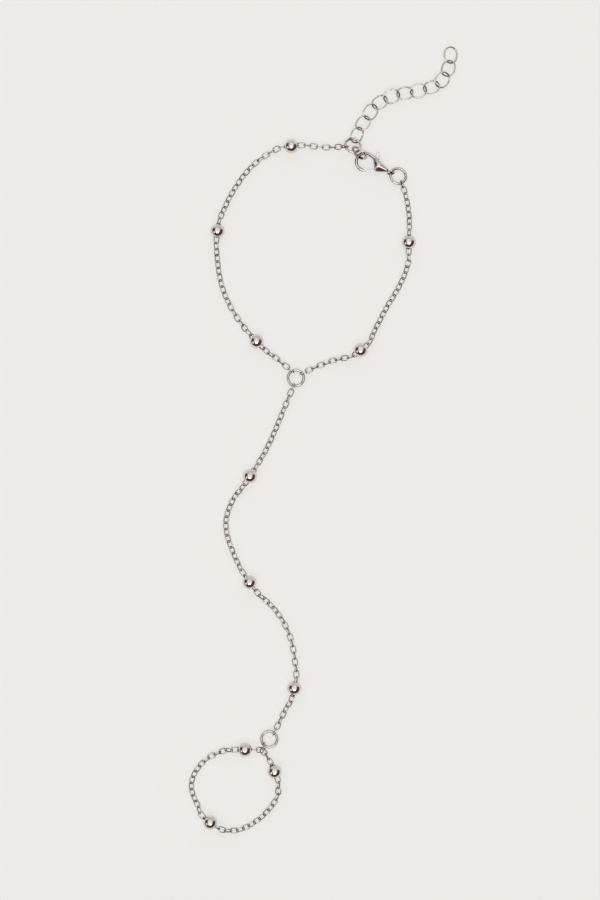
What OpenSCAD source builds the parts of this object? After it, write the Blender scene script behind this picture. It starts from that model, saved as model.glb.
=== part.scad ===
// Hand chain bracelet, laid out on a flat surface: a wrist loop closed by a
// lobster clasp, with an extender, a chain down the back of the hand, and a
// loop for the finger. Millimetres, +Z up, the surface is z = 0.

/* [Fine chain] */
// Outside length of a small oval link
link_l = 2.4; // [2.3:0.05:2.5]
// Outside width of a small oval link
link_w = 1.65; // [1.6:0.05:1.7]
// Wire of a small link
link_wire = 0.3; // [0.26:0.01:0.31]
// Least gap between links that hold each other
gap = 0.14; // [0.12:0.01:0.16]
// Lean of the links where all of them lean alike, to one side and the other by turns
lean = 36; // [34:1:40]

/* [Beads] */
// Diameter of a bead
bead_d = 3.8; // [3.7:0.05:3.9]
// Width of the flat round a bead's mouth
bead_mouth = 0.06; // [0.04:0.01:0.1]
// Gap between the chain and a bead's bore
bead_play = 0.1; // [0.08:0.01:0.14]

/* [Jump rings] */
// Outside diameter of a jump ring
ring_od = 4.8; // [4.75:0.05:4.9]
// Wire of a jump ring
ring_wire = 0.7; // [0.66:0.01:0.72]

/* [Connector link] */
// Outside length of the link between the finger ring and the finger chain
connector_l = 2.5; // [2.45:0.05:2.6]
// Outside width of that link
connector_w = 1.9; // [1.85:0.05:1.95]

/* [Extender] */
// Outside length of an extender link
ext_l = 4.6; // [4.5:0.1:4.8]
// Outside width of an extender link
ext_w = 4; // [3.9:0.1:4.1]
// Wire of an extender link
ext_wire = 0.42; // [0.38:0.01:0.44]
// Slack in each joint of the extender
ext_slack = 0.16; // [0.15:0.01:0.2]
// Tilt of the extender's links, to one side and the other by turns
ext_tilt = 24; // [22:1:28]

/* [Clasp] */
// Radius of the hook, to the middle of its wire
hook_r = 2.25; // [2.2:0.05:2.3]
// Wire of the hook
hook_wire = 0.8; // [0.74:0.02:0.82]
// Radius of the tail eye, to the middle of its wire
eye_r = 0.86; // [0.84:0.01:0.88]
// Wire of the tail eye
eye_wire = 0.4; // [0.36:0.01:0.42]
// Greatest thickness of the body
body_t = 2.3; // [2.2:0.05:2.4]
// Thickness of the lever
lever_t = 0.6; // [0.5:0.05:0.7]
// Gap between the lever and each cheek of the body
cheek_play = 0.1; // [0.08:0.01:0.12]
// Diameter of the rivet
rivet_d = 0.6; // [0.5:0.05:0.7]
// Running gap between the rivet and the lever
rivet_play = 0.04; // [0.03:0.01:0.08]
// Gap between the rivet and the body
rivet_seat = 0.02; // [0.02:0.01:0.03]

/* [Hidden] */

wire_fn = 32;
arc_fn = 64;
silver = [0.80, 0.79, 0.77];
warm = [0.80, 0.77, 0.72];

// Radii, heights and lengths that follow from the sizes above
ring_r = (ring_od - ring_wire) / 2;
low_z = link_w / 2;
bead_z = bead_d / 2;
bore_d = link_w + 2 * bead_play;
bead_l = 2 * sqrt(pow(bead_d / 2, 2) - pow(bore_d / 2 + bead_mouth, 2));
// Greatest distance between the joints of one small link
pitch_most = link_l - 2 * link_wire - gap;
// How far a link's end reaches past its joint, to the middle of its wire
reach = (link_wire + gap) / 2;
// From the middle of a ring's wire inwards to the end joint of the chain that hooks it
hook_in = (ring_wire + link_wire) / 2 + gap - reach;
// Straight run of chain on each side of a bead's middle, length of its ramp, and of a chain's end ramp
bead_margin = 0.7;
bead_run = bead_l / 2 + bead_margin;
ramp = 4.5;
end_run = 4.6;
// Share of a chain's length that one link takes, at most
link_share = 0.02;

// Flat rings: place of the centre
centre_ring_at = [-6.8, 16.5, low_z];
finger_ring_at = [-13.7, -77.3, connector_w / 2];

// Leaning rings: place in plan, height, then lean and the direction of the axis that they lean about
lift_off = 0.02;
end_ring_at = [8, 76.75, 2];
end_ring_turn = [-29, -20];
hook_ring_plan = [9.65, 74.8];
hook_ring_turn = [69, -40];
tail_ring_at = [19.77, 68.94, 0.93];
tail_ring_turn = [15.7, 132.3];
hook_ring_at = concat(hook_ring_plan, [ring_r * sin(hook_ring_turn[0]) + ring_wire / 2 + lift_off]);

// Connector link: where it holds the finger ring, and its direction
connector_bearing = 228;
connector_heading = 250;

// Extender: first two joints, then the direction of each link from the second on
ext_start = [[8.33, 77.91, 1.13], [9.74, 81.18, 1.64]];
ext_first_roll = 38;
ext_headings = [59, 54, 37, 17, 10, 10, 21, 48, 75, 86];
ext_tuck = 0.003;

// Clasp: place of its origin, and the points of its plan, x towards the hook and y away from the spine.
// Its body is drawn over round corners, each with place and radius, the neck, and a crown at its thickest.
clasp_at = [13.91, 71.89, 1.3];
hook_at = [2.78, -0.7];
hook_from = -130;
hook_to = 81;
eye_at = [-3.91, 2.09];
eye_tilt = -64;
rivet_at = [-0.5, 0.6];
crown_at = [-0.7, 0.25];
corners = [[-0.2, 1.25, 0.62], [-0.65, 1.4, 0.6], [-2.8, 1.4, 0.5]];
neck_at = [0.2, -1.62];
neck_more = 0.03;
gate_way = [[0.15, 1.5, 0.34], [1.5, 1.72, 0.31], [2.62, 1.62, 0.22]];
tab_way = [[-0.52, -1.55, 0.36], [-0.62, -2.95, 0.33]];

// Routes of the fine chains, as places on the surface; a third column of 1 marks a bead
wrist_left_way = [
  [0.5, 76.4], [-8, 76.6, 1], [-13.4, 75], [-18.5, 71.2], [-22.5, 66], [-25.5, 60.2],
  [-27.1, 54.6, 1], [-27.2, 47.5], [-25.9, 40], [-22.6, 33], [-17, 26, 1], [-12, 21.7]
];
wrist_right_way = [
  [22, 62.8], [22.7, 57.5], [22.5, 51.7, 1], [22.4, 46.3], [20.1, 40.4], [16.7, 34.7],
  [13.7, 29], [10, 23.7, 1], [3.7, 21.3], [-1.5, 19.4]
];
hand_way = [
  [-10, 8.2], [-13.9, -0.9], [-18.7, -9, 1], [-23, -14.9], [-25, -21], [-23.6, -27.6],
  [-18.8, -36.5, 1], [-12.2, -43.7], [-8.6, -49.9], [-7, -57.5], [-7.2, -64, 1], [-9.8, -70.2]
];
finger_way = [
  [-20, -79.9, 1], [-25.6, -80.3], [-31.2, -83.6], [-34, -89], [-32.3, -94.4], [-29, -98.8, 1],
  [-23.1, -101.1], [-17, -98.6], [-12.4, -93.8], [-11.3, -90.3], [-12.3, -85.6, 1]
];

// Twist of each chain, as [share of its length, turn]. At a turn of 0 the first link and every second one
// lie flat and the rest stand, at 90 it is the other way round, and at 45 all lean alike.
wrist_left_turn = [
  [0.05, 84], [0.22, 80], [0.31, 45], [0.44, 45], [0.5, 72], [0.56, 45], [0.71, 45], [0.78, 15], [0.87, 45]
];
wrist_right_turn = [
  [0.08, 50], [0.17, 45], [0.22, 75], [0.32, 70], [0.37, 45], [0.66, 42], [0.8, 15], [0.9, 20]
];
hand_turn = [
  [0.04, 70], [0.09, 45], [0.17, 45], [0.24, 68], [0.31, 45], [0.5, 45],
  [0.57, 72], [0.64, 45], [0.73, 15], [0.84, 15], [0.91, 45]
];
finger_turn = [
  [0.05, 12], [0.12, 40], [0.19, 15], [0.26, 45], [0.4, 45], [0.46, 70],
  [0.54, 70], [0.6, 45], [0.76, 45], [0.82, 70], [0.9, 72]
];

// Ends of the chains. On a leaning ring: place and height of the first joint, and roll of the first link.
left_end = [6.54, 76.44, 2.67];
left_end_roll = 109.5;
right_end = [20.59, 67.55, 1.07];
right_end_roll = 75.5;
// On a flat ring: bearing of the last joint from the ring's middle, with the last link standing
left_bearing = 113;
right_bearing = 38;
hand_bearings = [-105, 50];
standing = 90;
// On the connector link: directions in which the two ends leave it, lying flat one over the other
finger_ends = [178, -62];
finger_apart = 0.08;
lying = 0;

function unit(v) = v / norm(v);
function flat(p) = [p[0], p[1]];
function side(a) = [cos(a), sin(a)];
function is_bead(p) = len(p) > 2 && p[2] == 1;
function run(p) = is_bead(p) ? bead_run : 0;

// Direction of a route at each of its points
function headings(w) = let (n = len(w) - 1)
  [for (i = [0:n]) unit(flat(w[min(i + 1, n)]) - flat(w[max(i - 1, 0)]))];

// One smooth bend between two straight runs
function bend(a, ua, b, ub, steps) = let (h = norm(b - a) / 3, c = a + h * ua, d = b - h * ub)
  [for (i = [0:steps]) let (t = i / steps, s = 1 - t)
    s * s * s * a + 3 * s * s * t * c + 3 * s * t * t * d + t * t * t * b];

// The whole route as closely spaced points
function trace(w) = let (u = headings(w))
  [for (i = [0:len(w) - 2])
    for (p = bend(flat(w[i]) + run(w[i]) * u[i], u[i],
                  flat(w[i + 1]) - run(w[i + 1]) * u[i + 1], u[i + 1], 12)) p];

// Distance along a traced route to each of its points
function stations(p) = [for (i = 0, s = 0; i < len(p);
  s = s + (i + 1 < len(p) ? norm(p[i + 1] - p[i]) : 0), i = i + 1) s];

// Height of a chain: low on the surface, up through a bead's bore, and up or down to what its ends hold
function ease(t) = let (c = min(max(t, 0), 1)) c * c * (3 - 2 * c);
function rise(p, q) = ease(1 - (norm(p - flat(q)) - bead_run) / ramp);
function lift(p, w) = max([for (q = w) is_bead(q) ? rise(p, q) : 0]);
function tip(turn) = lookup(turn, [[0, 0], [45, lean], [90, 90]]);
function steepest(c, share) = lookup(share,
  concat([[0, 90]], [for (t = c[1]) [t[0], tip(max(t[1], 90 - t[1]))]], [[1, 90]]));
function low(c, share) = link_wire / 2
  + (link_w - link_wire) / 2 * sin(max([for (d = [-link_share, 0, link_share]) steepest(c, share + d)]));
function lie(p, c, share) = let (b = low(c, share)) b + lift(p, c[0]) * (bead_z - b);
function fade(s) = max(0, 1 - s / end_run);

// A chain is [route, twist, roll of its first and its last link, height of its first and its last joint]
function raised(c) = let (
    p = trace(c[0]), s = stations(p), n = len(p) - 1, total = s[n],
    up_0 = c[4] - lie(p[0], c, 0), up_1 = c[5] - lie(p[n], c, 1)
  )
  [for (i = [0:n]) [p[i][0], p[i][1],
    lie(p[i], c, s[i] / total) + up_0 * fade(s[i]) + up_1 * fade(total - s[i])]];

// Joints between links: evenly spaced along the route, as wide as the links allow
function joints(c) = let (
    p = raised(c), s = stations(p), total = s[len(s) - 1],
    n = ceil(total / pitch_most),
    t = [for (axis = [0:2]) [for (i = [0:len(p) - 1]) [s[i], p[i][axis]]]]
  )
  [for (k = [0:n]) [for (axis = [0:2]) lookup(total * k / n, t[axis])]];

// Roll of link k of n: as its ring asks at both ends, and by the chain's twist between
function near(a, b) = a + 180 * round((b - a) / 180);
function roll(c, k, n) = let (
    way = [for (t = c[1]) [t[0], k % 2 == 0 ? tip(t[1]) : -tip(90 - t[1])]],
    first = near(c[2] - 90 * (k % 2), way[0][1]),
    last = near(c[3] - 90 * ((n - 1 - k) % 2), way[len(way) - 1][1])
  )
  lookup(k / (n - 1), concat([[0, first]], way, [[1, last]]));

// A link about the origin, long side on X: two half rings of wire joined by two straight runs
module oval_link(l, w, wire) {
  end_r = (w - wire) / 2;
  half_run = (l - w) / 2;
  for (turn = [0, 180]) rotate([0, 0, turn]) {
    translate([half_run, 0, 0]) rotate([0, 0, -90]) arc(end_r, wire, 180);
    translate([-half_run, end_r, 0]) rotate([0, 90, 0]) cylinder(d = wire, h = 2 * half_run, $fn = wire_fn);
  }
}

module arc(r, wire, turn) {
  rotate_extrude(angle = turn, $fn = arc_fn) translate([r, 0]) circle(d = wire, $fn = wire_fn);
}

// Brings what lies along X at the origin to the middle between two points, rolled about that line
module between(p, q, roll_deg) {
  d = q - p;
  translate((p + q) / 2)
    rotate([0, 0, atan2(d[1], d[0])])
      rotate([0, -asin(d[2] / norm(d)), 0])
        rotate([roll_deg, 0, 0]) children();
}

module fine_chain(c) {
  j = joints(c);
  n = len(j) - 1;
  color(silver)
    for (k = [0:n - 1]) between(j[k], j[k + 1], roll(c, k, n)) oval_link(link_l, link_w, link_wire);
}

module bead(c, index) {
  way = c[0];
  u = headings(way);
  at = [for (i = [0:len(way) - 1]) if (is_bead(way[i])) i][index];
  color(silver)
    translate([way[at][0], way[at][1], bead_z])
      rotate([0, 0, atan2(u[at][1], u[at][0])])
        rotate([0, 90, 0])
          difference() {
            intersection() {
              sphere(d = bead_d, $fn = 96);
              cylinder(d = bead_d + 1, h = bead_l, center = true, $fn = 48);
            }
            cylinder(d = bore_d, h = bead_d + 1, center = true, $fn = 48);
          }
}

// A round ring of wire, leaning by turn[0] about an axis in direction turn[1]
module jump_ring(at, turn = [0, 0]) {
  color(warm) translate(at) rotate([0, 0, turn[1]]) rotate([turn[0], 0, 0]) arc(ring_r, ring_wire, 360);
}

// Where a chain's end joint lies when it hooks a flat ring at the given bearing
function hooked(at, bearing) = flat(at) + (ring_r - hook_in) * side(bearing);

// Connector link: its middle, and the middle of the wire at its far end
connector_mid = flat(finger_ring_at) + ring_r * side(connector_bearing)
  + (connector_l - connector_w) / 2 * side(connector_heading);
connector_tip = connector_mid + (connector_l - link_wire) / 2 * side(connector_heading);
connector_step = (link_wire + gap + finger_apart) / 2;
function from_tip(heading) = connector_tip - reach * side(heading);

wrist_left = [
  concat([flat(left_end)], wrist_left_way, [hooked(centre_ring_at, left_bearing)]),
  wrist_left_turn, left_end_roll, standing, left_end[2], low_z
];
wrist_right = [
  concat([flat(right_end)], wrist_right_way, [hooked(centre_ring_at, right_bearing)]),
  wrist_right_turn, right_end_roll, standing, right_end[2], low_z
];
hand = [
  concat([hooked(centre_ring_at, hand_bearings[0])], hand_way, [hooked(finger_ring_at, hand_bearings[1])]),
  hand_turn, standing, standing, low_z, finger_ring_at[2]
];
finger = [
  concat([from_tip(finger_ends[0])], finger_way, [from_tip(finger_ends[1])]),
  finger_turn, lying, lying, finger_ring_at[2] + connector_step, finger_ring_at[2] - connector_step
];

module connector() {
  color(silver)
    translate([connector_mid[0], connector_mid[1], finger_ring_at[2]])
      rotate([0, 0, connector_heading])
        rotate([90, 0, 0]) oval_link(connector_l, connector_w, link_wire);
}

// Joints of the extender, each link one pitch further on in its own direction, tucked closer where it bends
ext_pitch = ext_l - 2 * ext_wire - ext_slack;
ext_z = (ext_w - ext_wire) / 2 * sin(ext_tilt) + ext_wire / 2 + lift_off / 2;
ext_first_way = ext_start[1] - ext_start[0];
ext_way = concat([atan2(ext_first_way[1], ext_first_way[0])], ext_headings);
function turned(i) = i > 0 && i < len(ext_way) ? abs(ext_way[i] - ext_way[i - 1]) : 0;
function ext_step(p, i) = let (
    z = i == 0 ? ext_start[1][2] : ext_z,
    l = ext_pitch - ext_tuck * (turned(i) + turned(i + 1)),
    h = sqrt(l * l - pow(z - p[2], 2)) * side(ext_way[i])
  )
  [p[0] + h[0], p[1] + h[1], z];
ext_joints = [for (i = 0, p = ext_start[0]; i <= 11; p = i < 11 ? ext_step(p, i) : p, i = i + 1) p];

module extender_link(i) {
  color(warm)
    between(ext_joints[i - 1], ext_joints[i], i == 1 ? ext_first_roll : (i % 2 == 0 ? -ext_tilt : ext_tilt))
      oval_link(ext_l, ext_w, ext_wire);
}

// The clasp lies on its side; in its own plan x points to the hook
module in_clasp() {
  translate(clasp_at) rotate([0, 0, 180]) children();
}

module chain_of(discs) {
  for (i = [0:len(discs) - 2]) hull() {
    for (c = [discs[i], discs[i + 1]]) translate([c[0], c[1]]) circle(r = c[2], $fn = 48);
  }
}

module ball(at, r) {
  translate([at[0], at[1], 0]) sphere(r = r, $fn = 48);
}

module body_form() {
  hull() {
    ball(crown_at, body_t / 2);
    ball(neck_at, hook_wire / 2 + neck_more);
    for (c = corners) ball(c, c[2]);
  }
}

module clasp_body() {
  color(silver) in_clasp() difference() {
    union() {
      body_form();
      hull() {
        ball(neck_at, hook_wire / 2 + neck_more);
        ball(hook_at + hook_r * side(hook_from), hook_wire / 2 + neck_more);
      }
      translate([hook_at[0], hook_at[1], 0]) rotate([0, 0, hook_from])
        arc(hook_r, hook_wire, hook_to - hook_from);
      translate([eye_at[0], eye_at[1], 0]) rotate([eye_tilt, 0, 0]) arc(eye_r, eye_wire, 360);
    }
    linear_extrude(lever_t + 2 * cheek_play, center = true) lever_room();
    translate([rivet_at[0], rivet_at[1], 0])
      cylinder(d = rivet_d + 2 * rivet_seat, h = body_t + 1, center = true, $fn = 48);
  }
}

// Room for the lever between the cheeks, closed and open
module lever_room() {
  translate(rivet_at) circle(r = 0.82, $fn = 48);
  polygon([[-0.5, 0.2], [1, -0.1], [1.2, 2.5], [-1.1, 2.6], [-1.2, 0.9]]);
  polygon([[-1.25, 0.4], [-2.6, -1.6], [-1.6, -2.8], [-0.05, -2.8], [-0.05, 0.4]]);
}

module clasp_lever() {
  color(silver) in_clasp() linear_extrude(lever_t, center = true) difference() {
    union() {
      translate(rivet_at) circle(r = 0.7, $fn = 48);
      chain_of(concat([[rivet_at[0] + 0.1, rivet_at[1] + 0.2, 0.5]], gate_way));
      chain_of(concat([[rivet_at[0], rivet_at[1], 0.5]], tab_way));
    }
    translate(rivet_at) circle(d = rivet_d + 2 * rivet_play, $fn = 48);
  }
}

// The rivet is dressed flush with the body
module clasp_rivet() {
  color(warm) in_clasp() intersection() {
    body_form();
    translate([rivet_at[0], rivet_at[1], 0]) cylinder(d = rivet_d, h = body_t + 1, center = true, $fn = 48);
  }
}

fine_chain(wrist_left);  // wrist_chain_left
fine_chain(wrist_right);  // wrist_chain_right
fine_chain(hand);  // hand_chain
fine_chain(finger);  // finger_chain
for (i = [1:3]) bead(wrist_left, i - 1);
for (i = [4:5]) bead(wrist_right, 5 - i);
for (i = [1:3]) bead(hand, i - 1);
for (i = [1:3]) bead(finger, i - 1);
jump_ring(centre_ring_at);  // centre_ring
jump_ring(finger_ring_at);  // finger_ring
jump_ring(end_ring_at, end_ring_turn);  // end_ring
jump_ring(hook_ring_at, hook_ring_turn);  // hook_ring
jump_ring(tail_ring_at, tail_ring_turn);  // tail_ring
connector();  // connector_link
for (i = [1:11]) extender_link(i);
clasp_body();
clasp_lever();
clasp_rivet();
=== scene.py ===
"""Looks of the hand chain bracelet: plated metals, seams of the bent wires, floor, light, camera."""

from math import cos, radians, sin

import bpy
import numpy as np
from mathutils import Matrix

MM = 0.001
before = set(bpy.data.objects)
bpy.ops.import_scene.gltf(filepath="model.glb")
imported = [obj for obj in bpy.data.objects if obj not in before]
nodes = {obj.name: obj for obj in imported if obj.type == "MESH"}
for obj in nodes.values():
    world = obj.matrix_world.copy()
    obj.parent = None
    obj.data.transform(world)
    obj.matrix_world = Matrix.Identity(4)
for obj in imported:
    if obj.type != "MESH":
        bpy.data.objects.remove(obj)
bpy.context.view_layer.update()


# ---------- node trees ----------
class Graph:
    """A material's node tree, with short calls to add and join nodes."""

    def __init__(self, name):
        self.material = bpy.data.materials.new(name)
        self.material.use_nodes = True
        self.tree = self.material.node_tree
        self.tree.nodes.clear()

    def add(self, kind, **values):
        """A node of a kind; each value is a setting of the node, or else the value of an input."""
        node = self.tree.nodes.new("ShaderNode" + kind)
        for key, value in values.items():
            if hasattr(node, key):
                setattr(node, key, value)
            else:
                node.inputs[key.replace("_", " ")].default_value = value
        return node

    def join(self, a, out, b, into):
        self.tree.links.new(a.outputs[out], b.inputs[into])

    def ramp(self, source, out, stops):
        node = self.add("ValToRGB")
        for element, (at, colour) in zip(node.color_ramp.elements, stops):
            element.position = at
            element.color = (*colour, 1)
        self.join(source, out, node, "Fac")
        return node

    def step(self, source, out, full, none):
        """1 where the source is at `full` or beyond, 0 at `none`."""
        node = self.add("MapRange", From_Min=none, From_Max=full)
        self.join(source, out, node, "Value")
        return node

    def noise(self, scale, detail, roughness):
        """Noise in the object's own space, its scale per metre."""
        node = self.add("TexNoise", Scale=scale, Detail=detail, Roughness=roughness)
        self.join(self.add("TexCoord"), "Object", node, "Vector")
        return node

    def finish(self, shader):
        self.join(shader, "BSDF", self.add("OutputMaterial"), "Surface")
        return self.material


# ---------- metals ----------
WHITE = (1, 1, 1)
SKY_SAMPLES, BEVEL_SAMPLES = 8, 6
# Noise that clouds the tint: its scale, and the levels where the tint is wholly worn or clean
CLOUD_SCALE, CLOUD_WORN, CLOUD_CLEAN = 900.0, 0.35, 0.62
# Rubbing marks: their scale and depth, and the shares of a metal's roughness that bound the gloss
RUB_SCALE, RUB_DEPTH = 5200.0, 0.01 * MM
GLOSS_LEAST, GLOSS_MOST = 0.7, 1.5
# Seam of a bent wire: half width where it is full and where it ends, depth, strength and colour,
# and how far round its place it is full and ends, in radii of the wire
SEAM_FULL, SEAM_NONE = 0.03 * MM, 0.055 * MM
SEAM_DEPTH, SEAM_STRENGTH = 0.04 * MM, 0.8
SEAM_COLOUR = (0.030, 0.021, 0.017, 1)
SEAM_NEAR, SEAM_FAR = 1.3, 1.5


class Metal:
    """Polished plating, cloudy and finely rubbed, with painted brown shade near the floor or a
    neighbour.

    `colour` is the clean tint, `worn` the clouded one and `shade` the colour of the painted shade.
    `reach` is how near, in mm, and `shaded` and `clear` are the open shares of the sky that bound
    the painted shade.
    `scratch` is the strength of the marks, and `soften` the radius, in mm, of rounded light over
    the edges.
    """

    def __init__(self, colour, worn, shade, roughness, reach,
                 scratch=0.15, shaded=0.62, clear=0.97, soften=0.0):
        self.colour, self.worn, self.shade = colour, worn, shade
        self.roughness, self.scratch = roughness, scratch
        self.reach, self.shaded, self.clear, self.soften = reach, shaded, clear, soften

    def material(self, name, seam=None):
        g = Graph(name)
        paint = self.paint(g)
        rub = g.noise(RUB_SCALE, detail=2.0, roughness=0.5)
        gloss = g.add("MapRange",
                      To_Min=self.roughness * GLOSS_LEAST, To_Max=self.roughness * GLOSS_MOST)
        g.join(rub, "Fac", gloss, "Value")
        relief = g.add("Bump", Strength=self.scratch, Distance=RUB_DEPTH)
        g.join(rub, "Fac", relief, "Height")
        if self.soften:
            edge = g.add("Bevel", samples=BEVEL_SAMPLES, Radius=self.soften * MM)
            g.join(edge, "Normal", relief, "Normal")
        if seam:
            paint, relief = self.cut(g, seam, paint, relief)
        shader = g.add("BsdfPrincipled", Metallic=1.0)
        g.join(paint, "Color", shader, "Base Color")
        g.join(gloss, "Result", shader, "Roughness")
        g.join(relief, "Normal", shader, "Normal")
        return g.finish(shader)

    def paint(self, g):
        """The cloudy tint, with painted brown shade where little of the sky is open."""
        cloud = g.noise(CLOUD_SCALE, detail=4.0, roughness=0.6)
        tint = g.ramp(cloud, "Fac", [(CLOUD_WORN, self.worn), (CLOUD_CLEAN, self.colour)])
        # Painted shade: the tint is darkened towards brown near the floor and near neighbouring
        # parts
        sky = g.add("AmbientOcclusion", samples=SKY_SAMPLES, Distance=self.reach * MM)
        painted_shade = g.ramp(sky, "AO", [(self.shaded, self.shade), (self.clear, WHITE)])
        paint = g.add("MixRGB", blend_type="MULTIPLY", Fac=1.0)
        g.join(tint, "Color", paint, "Color1")
        g.join(painted_shade, "Color", paint, "Color2")
        return paint

    def cut(self, g, seam, paint, relief):
        """The paint and relief with the hairline where the two ends of a bent wire meet."""
        place, along, wire = seam
        offset = g.add("VectorMath", operation="SUBTRACT")
        offset.inputs[1].default_value = place
        g.join(g.add("TexCoord"), "Object", offset, 0)
        across = g.add("VectorMath", operation="DOT_PRODUCT")
        across.inputs[1].default_value = along
        g.join(offset, "Vector", across, 0)
        size = g.add("Math", operation="ABSOLUTE")
        g.join(across, "Value", size, 0)
        far = g.add("VectorMath", operation="LENGTH")
        g.join(offset, "Vector", far, 0)
        line = g.add("Math", operation="MULTIPLY")
        g.join(g.step(size, "Value", SEAM_FULL, SEAM_NONE), "Result", line, 0)
        g.join(g.step(far, "Value", SEAM_NEAR * wire, SEAM_FAR * wire), "Result", line, 1)
        groove = g.add("Bump", invert=True, Strength=SEAM_STRENGTH, Distance=SEAM_DEPTH)
        g.join(line, "Value", groove, "Height")
        g.join(relief, "Normal", groove, "Normal")
        dark = g.add("MixRGB", Color2=SEAM_COLOUR)
        g.join(paint, "Color", dark, "Color1")
        g.join(line, "Value", dark, "Fac")
        return dark, groove


def seam_of(obj, bearing):
    """Place of a bent wire's seam, the wire's direction there and its radius.

    The loop lies about its own plane, and the bearing is in degrees from +X, seen from above.
    """
    points = np.array([v.co for v in obj.data.vertices])
    middle = (points.min(0) + points.max(0)) / 2
    points -= middle
    normal = np.linalg.eigh(np.cov(points.T))[1][:, 0]
    out = np.array([cos(radians(bearing)), sin(radians(bearing)), 0])
    out -= normal * normal.dot(out)
    out /= np.linalg.norm(out)
    wire = (points @ normal).max()
    place = middle + out * ((points @ out).max() - wire)
    return tuple(map(float, place)), tuple(map(float, np.cross(normal, out))), float(wire)


CHAIN = Metal(
    colour=(0.72, 0.70, 0.68), worn=(0.58, 0.55, 0.525), shade=(0.22, 0.145, 0.115),
    roughness=0.10, reach=2.0)
BEAD = Metal(
    colour=(0.765, 0.735, 0.705), worn=(0.71, 0.675, 0.64), shade=(0.45, 0.38, 0.34),
    roughness=0.04, scratch=0.05, reach=0.4, shaded=0.42, clear=0.7, soften=0.1)
# The jump rings' one plating in two copies with painted shade: darker and browner on the flat rings,
# lighter on the leaning ones
FLAT_RING_MORE_SHADE = Metal(
    colour=(0.74, 0.71, 0.665), worn=(0.62, 0.585, 0.53), shade=(0.13, 0.085, 0.06),
    roughness=0.06, reach=3.0)
LEANING_RING_LESS_SHADE = Metal(
    colour=(0.78, 0.75, 0.70), worn=(0.66, 0.625, 0.57), shade=(0.25, 0.17, 0.125),
    roughness=0.07, reach=1.5)
# The ring plating once more, lighter and with lighter painted shade
EXTENDER = Metal(
    colour=(0.80, 0.765, 0.71), worn=(0.68, 0.64, 0.58), shade=(0.27, 0.19, 0.14),
    roughness=0.09, reach=1.6)
CLASP = Metal(
    colour=(0.795, 0.765, 0.735), worn=(0.69, 0.655, 0.62), shade=(0.10, 0.06, 0.047),
    roughness=0.05, scratch=0.1, reach=5.0, shaded=0.60, clear=0.99, soften=0.12)
LEVER = Metal(
    colour=(0.83, 0.83, 0.85), worn=(0.76, 0.76, 0.785), shade=(0.12, 0.09, 0.09),
    roughness=0.07, scratch=0.1, reach=3.0, clear=0.93, soften=0.24)


# ---------- finishes of the nodes ----------
# Metal of each jump ring, the copy with more or less painted shade, and the bearing of its seam
RINGS = {
    "centre_ring": (FLAT_RING_MORE_SHADE, -33),
    "finger_ring": (FLAT_RING_MORE_SHADE, 100),
    "tail_ring": (FLAT_RING_MORE_SHADE, 20),
    "end_ring": (LEANING_RING_LESS_SHADE, 150),
    "hook_ring": (LEANING_RING_LESS_SHADE, -20),
}
# Bearing of the first extender link's seam, and how far each next one turns from it
FIRST_LINK_SEAM, SEAM_TURN = 150, 14


def dress(obj, material):
    obj.data.materials.clear()
    obj.data.materials.append(material)


def dress_nodes():
    chain = CHAIN.material("chain plating")
    bead = BEAD.material("bead plating")
    clasp = CLASP.material("clasp plating")
    lever = LEVER.material("lever plating")
    for name, obj in nodes.items():
        if "_bead_" in name:
            finish = bead
        elif name in RINGS:
            metal, bearing = RINGS[name]
            finish = metal.material(name + " plating", seam_of(obj, bearing))
        elif name.startswith("extender_link_"):
            links_before = int(name.rsplit("_", 1)[1]) - 1
            bearing = FIRST_LINK_SEAM - SEAM_TURN * links_before
            finish = EXTENDER.material(name + " plating", seam_of(obj, bearing))
        elif name == "clasp_lever":
            finish = lever
        elif name.startswith("clasp_"):
            finish = clasp
        else:
            finish = chain
        dress(obj, finish)


# ---------- floor ----------
# Half the floor's side, in metres
FLOOR_HALF = 8
# The pale card's grain: its scale, its relief, and its tones at two levels of the noise
GRAIN_SCALE, GRAIN_DEPTH, GRAIN_STRENGTH = 350.0, 0.02 * MM, 0.04
GRAIN_TONES = [(0.3, (0.317, 0.314, 0.302)), (0.7, (0.323, 0.320, 0.308))]
CARD_ROUGHNESS, CARD_SPECULAR = 0.75, 0.15
# Its own pale glow, which keeps the contact shadows as faint as in the photo
CARD_GLOW = (0.6053, 0.6022, 0.5825, 1)


def card():
    g = Graph("pale card")
    grain = g.noise(GRAIN_SCALE, detail=5.0, roughness=0.6)
    bump = g.add("Bump", Strength=GRAIN_STRENGTH, Distance=GRAIN_DEPTH)
    g.join(grain, "Fac", bump, "Height")
    shader = g.add("BsdfPrincipled",
                   Roughness=CARD_ROUGHNESS, Specular_IOR_Level=CARD_SPECULAR,
                   Emission_Color=CARD_GLOW, Emission_Strength=1.0)
    g.join(g.ramp(grain, "Fac", GRAIN_TONES), "Color", shader, "Base Color")
    g.join(bump, "Normal", shader, "Normal")
    return g.finish(shader)


def floor():
    mesh = bpy.data.meshes.new("floor")
    r = FLOOR_HALF
    mesh.from_pydata([(-r, -r, 0), (r, -r, 0), (r, r, 0), (-r, r, 0)], [], [(0, 1, 2, 3)])
    obj = bpy.data.objects.new("floor", mesh)
    bpy.context.collection.objects.link(obj)
    dress(obj, card())


# ---------- light ----------
DARK_ROOM = (0.088, 0.052, 0.042)
# Each part of the studio: its colour, the direction of its middle, and the cosines of the angles
# from that direction at which it ends and at which it is full
FAR_WALL = (0.66, 0.65, 0.64), (0.14, 0.99, 0), 0.35, 0.65
SIDE_CARD = (1.1, 1.05, 0.98), (-0.797, -0.338, 0.5), 0.955, 0.98
CEILING = (1.02, 1.02, 1.02), (0, 0.10, 0.995), 0.70, 0.86
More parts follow.
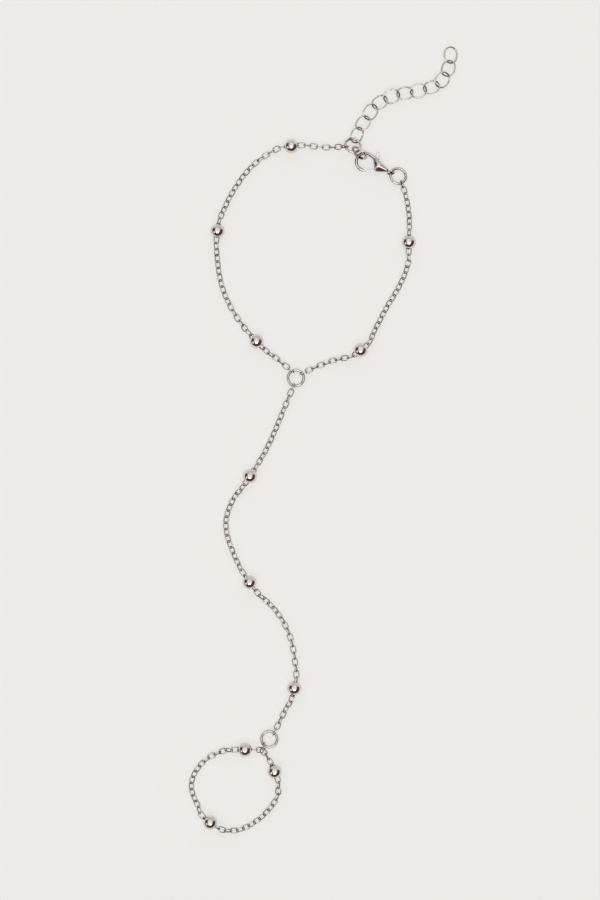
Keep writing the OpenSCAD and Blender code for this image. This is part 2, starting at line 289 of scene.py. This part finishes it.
# The strip softbox, overhead and towards the near side: an axis along each of its sides, and the
# sines of the angles from its middle at which it ends and at which it is full
SOFTBOX = (3.4, 3.38, 3.32)
SOFTBOX_WIDTH = (1, 0, 0), 0.36, 0.28
SOFTBOX_DEPTH = (0, 0.88, 0.47), 0.20, 0.12


class World:
    """The studio round the bracelet, painted on the world by direction."""

    def __init__(self, name):
        world = bpy.data.worlds.new(name)
        world.use_nodes = True
        bpy.context.scene.world = world
        self.tree = world.node_tree
        self.tree.nodes.clear()
        self.at = self.add("TexCoord").outputs["Generated"]

    def add(self, kind, **values):
        node = self.tree.nodes.new("ShaderNode" + kind)
        for key, value in values.items():
            setattr(node, key, value)
        return node

    def link(self, out, into):
        self.tree.links.new(out, into)

    def along(self, direction):
        """Cosine of the angle between the view and the direction."""
        dot = self.add("VectorMath", operation="DOT_PRODUCT")
        dot.inputs[1].default_value = direction
        self.link(self.at, dot.inputs[0])
        return dot.outputs["Value"]

    def fade(self, value, none, full):
        """0 at `none`, 1 at `full`, smooth between them."""
        span = self.add("MapRange", interpolation_type="SMOOTHSTEP")
        span.inputs["From Min"].default_value = none
        span.inputs["From Max"].default_value = full
        self.link(value, span.inputs["Value"])
        return span.outputs["Result"]

    def towards(self, direction, none, full):
        return self.fade(self.along(direction), none, full)

    def strip(self, axis, none, full):
        """1 within a band on both sides of the plane that the axis stands on."""
        size = self.add("Math", operation="ABSOLUTE")
        self.link(self.along(axis), size.inputs[0])
        return self.fade(size.outputs["Value"], none, full)

    def both(self, a, b):
        product = self.add("Math", operation="MULTIPLY")
        self.link(a, product.inputs[0])
        self.link(b, product.inputs[1])
        return product.outputs["Value"]

    def over(self, below, colour, mask):
        """The colour laid over what is below it, which is a colour or a node's output."""
        mix = self.add("MixRGB")
        self.link(mask, mix.inputs["Fac"])
        if isinstance(below, tuple):
            mix.inputs["Color1"].default_value = (*below, 1)
        else:
            self.link(below, mix.inputs["Color1"])
        mix.inputs["Color2"].default_value = (*colour, 1)
        return mix.outputs["Color"]

    def finish(self, light):
        back = self.add("Background")
        self.link(light, back.inputs["Color"])
        self.link(back.outputs["Background"], self.add("OutputWorld").inputs["Surface"])


def surroundings():
    """The studio that the photo's beads mirror.

    It has a white ceiling with a strip softbox on the near side, a grey wall beyond the far side,
    a small white card at the left, and a dark room round the rest.
    """
    world = World("studio")
    light = DARK_ROOM
    for colour, direction, none, full in (FAR_WALL, SIDE_CARD, CEILING):
        light = world.over(light, colour, world.towards(direction, none, full))
    box = world.both(world.strip(*SOFTBOX_WIDTH), world.strip(*SOFTBOX_DEPTH))
    world.finish(world.over(light, SOFTBOX, box))


# ---------- camera ----------
CAMERA_HEIGHT = 0.75
# What the picture shows of the surface: its height, 900 pixels of 0.26 mm, and its middle
SEEN_HEIGHT = 234 * MM
SEEN_MIDDLE = (-5.72 * MM, -2.21 * MM)
SENSOR = 36
CLIP_START = 0.01


def camera():
    """Straight above, as in the photo."""
    data = bpy.data.cameras.new("camera")
    data.sensor_fit = "VERTICAL"
    data.sensor_height = SENSOR
    data.lens = SENSOR * CAMERA_HEIGHT / SEEN_HEIGHT
    data.clip_start = CLIP_START
    obj = bpy.data.objects.new("camera", data)
    obj.location = (*SEEN_MIDDLE, CAMERA_HEIGHT)
    bpy.context.collection.objects.link(obj)
    bpy.context.scene.camera = obj


dress_nodes()
floor()
surroundings()
camera()
bpy.context.scene.view_settings.view_transform = "Standard"
